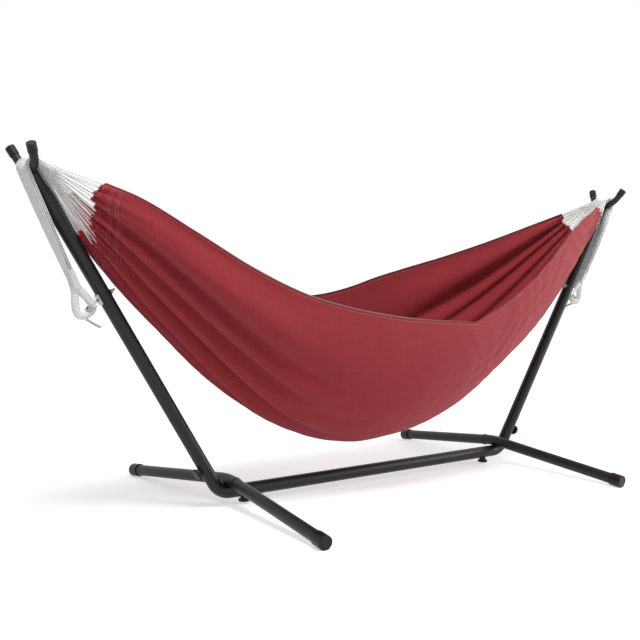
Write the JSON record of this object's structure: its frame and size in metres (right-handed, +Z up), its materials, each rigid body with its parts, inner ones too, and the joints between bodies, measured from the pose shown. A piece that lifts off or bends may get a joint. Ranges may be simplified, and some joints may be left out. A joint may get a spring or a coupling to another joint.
{
  "type": "hammock on stand",
  "caption": "Free-standing cloth hammock: a bent steel tube stand with leaning arms and splayed feet holds a red cotton bed by white strings laid over forked arm tops and looped on hook bolts.",
  "frame": {"origin": "on the floor, at the centre of the footprint, midway between the two arms", "axes": "+X along the hammock towards its right end, -Y towards the front, +Z up"},
  "size_m": [2.7548, 1.2136, 1.1654],
  "materials": {
    "powder_coat": "charcoal powder coat with a fine texture",
    "black_plastic": "moulded, satin",
    "zinc": "zinc plated",
    "red_cotton": "plain weave, gathered at both ends",
    "white_cotton": "twisted string"
  },
  "bodies": {
    "stand": {"centre_beam": "powder_coat", "left_arm": "powder_coat", "left_arm_weld_nut": "zinc", "left_base_elbow": "powder_coat", "left_beam_weld_nut": "zinc", "left_end_loop": "white_cotton", "left_fork": "powder_coat", "left_front_foot_cap": "black_plastic", "left_front_prong_cap": "black_plastic", "left_hook_bolt": "zinc", "left_hook_nut": "zinc", "left_hook_plate": "zinc", "left_hook_washer": "zinc", "left_loop_tail": "white_cotton", "left_rear_foot_cap": "black_plastic", "left_rear_prong_cap": "black_plastic", "left_slip_foot": "powder_coat", "left_string_bundle": "white_cotton", "left_welded_foot": "powder_coat", "right_arm": "powder_coat", "right_arm_weld_nut": "zinc", "right_base_elbow": "powder_coat", "right_beam_weld_nut": "zinc", "right_end_loop": "white_cotton", "right_fork": "powder_coat", "right_front_foot_cap": "black_plastic", "right_front_prong_cap": "black_plastic", "right_hook_bolt": "zinc", "right_hook_nut": "zinc", "right_hook_plate": "zinc", "right_hook_washer": "zinc", "right_loop_tail": "white_cotton", "right_rear_foot_cap": "black_plastic", "right_rear_prong_cap": "black_plastic", "right_slip_foot": "powder_coat", "right_string_bundle": "white_cotton", "right_welded_foot": "powder_coat"},
    "hammock": {"fabric_bed": "red_cotton", "left_string_fan": "white_cotton", "right_string_fan": "white_cotton"},
    "left_arm_knob": {"left_arm_knob": "black_plastic", "left_arm_knob_stud": "zinc"},
    "left_beam_knob": {"left_beam_knob": "black_plastic", "left_beam_knob_stud": "zinc"},
    "right_arm_knob": {"right_arm_knob": "black_plastic", "right_arm_knob_stud": "zinc"},
    "right_beam_knob": {"right_beam_knob": "black_plastic", "right_beam_knob_stud": "zinc"}
  },
  "joints": [
    {"name": "bed_swing", "type": "hinge", "parent": "stand", "child": "hammock", "pos_m": [0, 0, 1.0967], "axis": [1, 0, 0], "range_deg": [-25, 25]},
    {"name": "left_arm_knob_turn", "type": "hinge", "parent": "stand", "child": "left_arm_knob", "pos_m": [-0.74218, 0, 0.14049], "axis": [-0.8485, 0, -0.5292], "continuous": true},
    {"name": "left_beam_knob_turn", "type": "hinge", "parent": "stand", "child": "left_beam_knob", "pos_m": [-0.586, 0, 0.02], "axis": [0, 0, -1], "continuous": true},
    {"name": "right_arm_knob_turn", "type": "hinge", "parent": "stand", "child": "right_arm_knob", "pos_m": [0.74218, 0, 0.14049], "axis": [0.8485, 0, -0.5292], "continuous": true},
    {"name": "right_beam_knob_turn", "type": "hinge", "parent": "stand", "child": "right_beam_knob", "pos_m": [0.586, 0, 0.02], "axis": [0, 0, -1], "continuous": true}
  ]
}
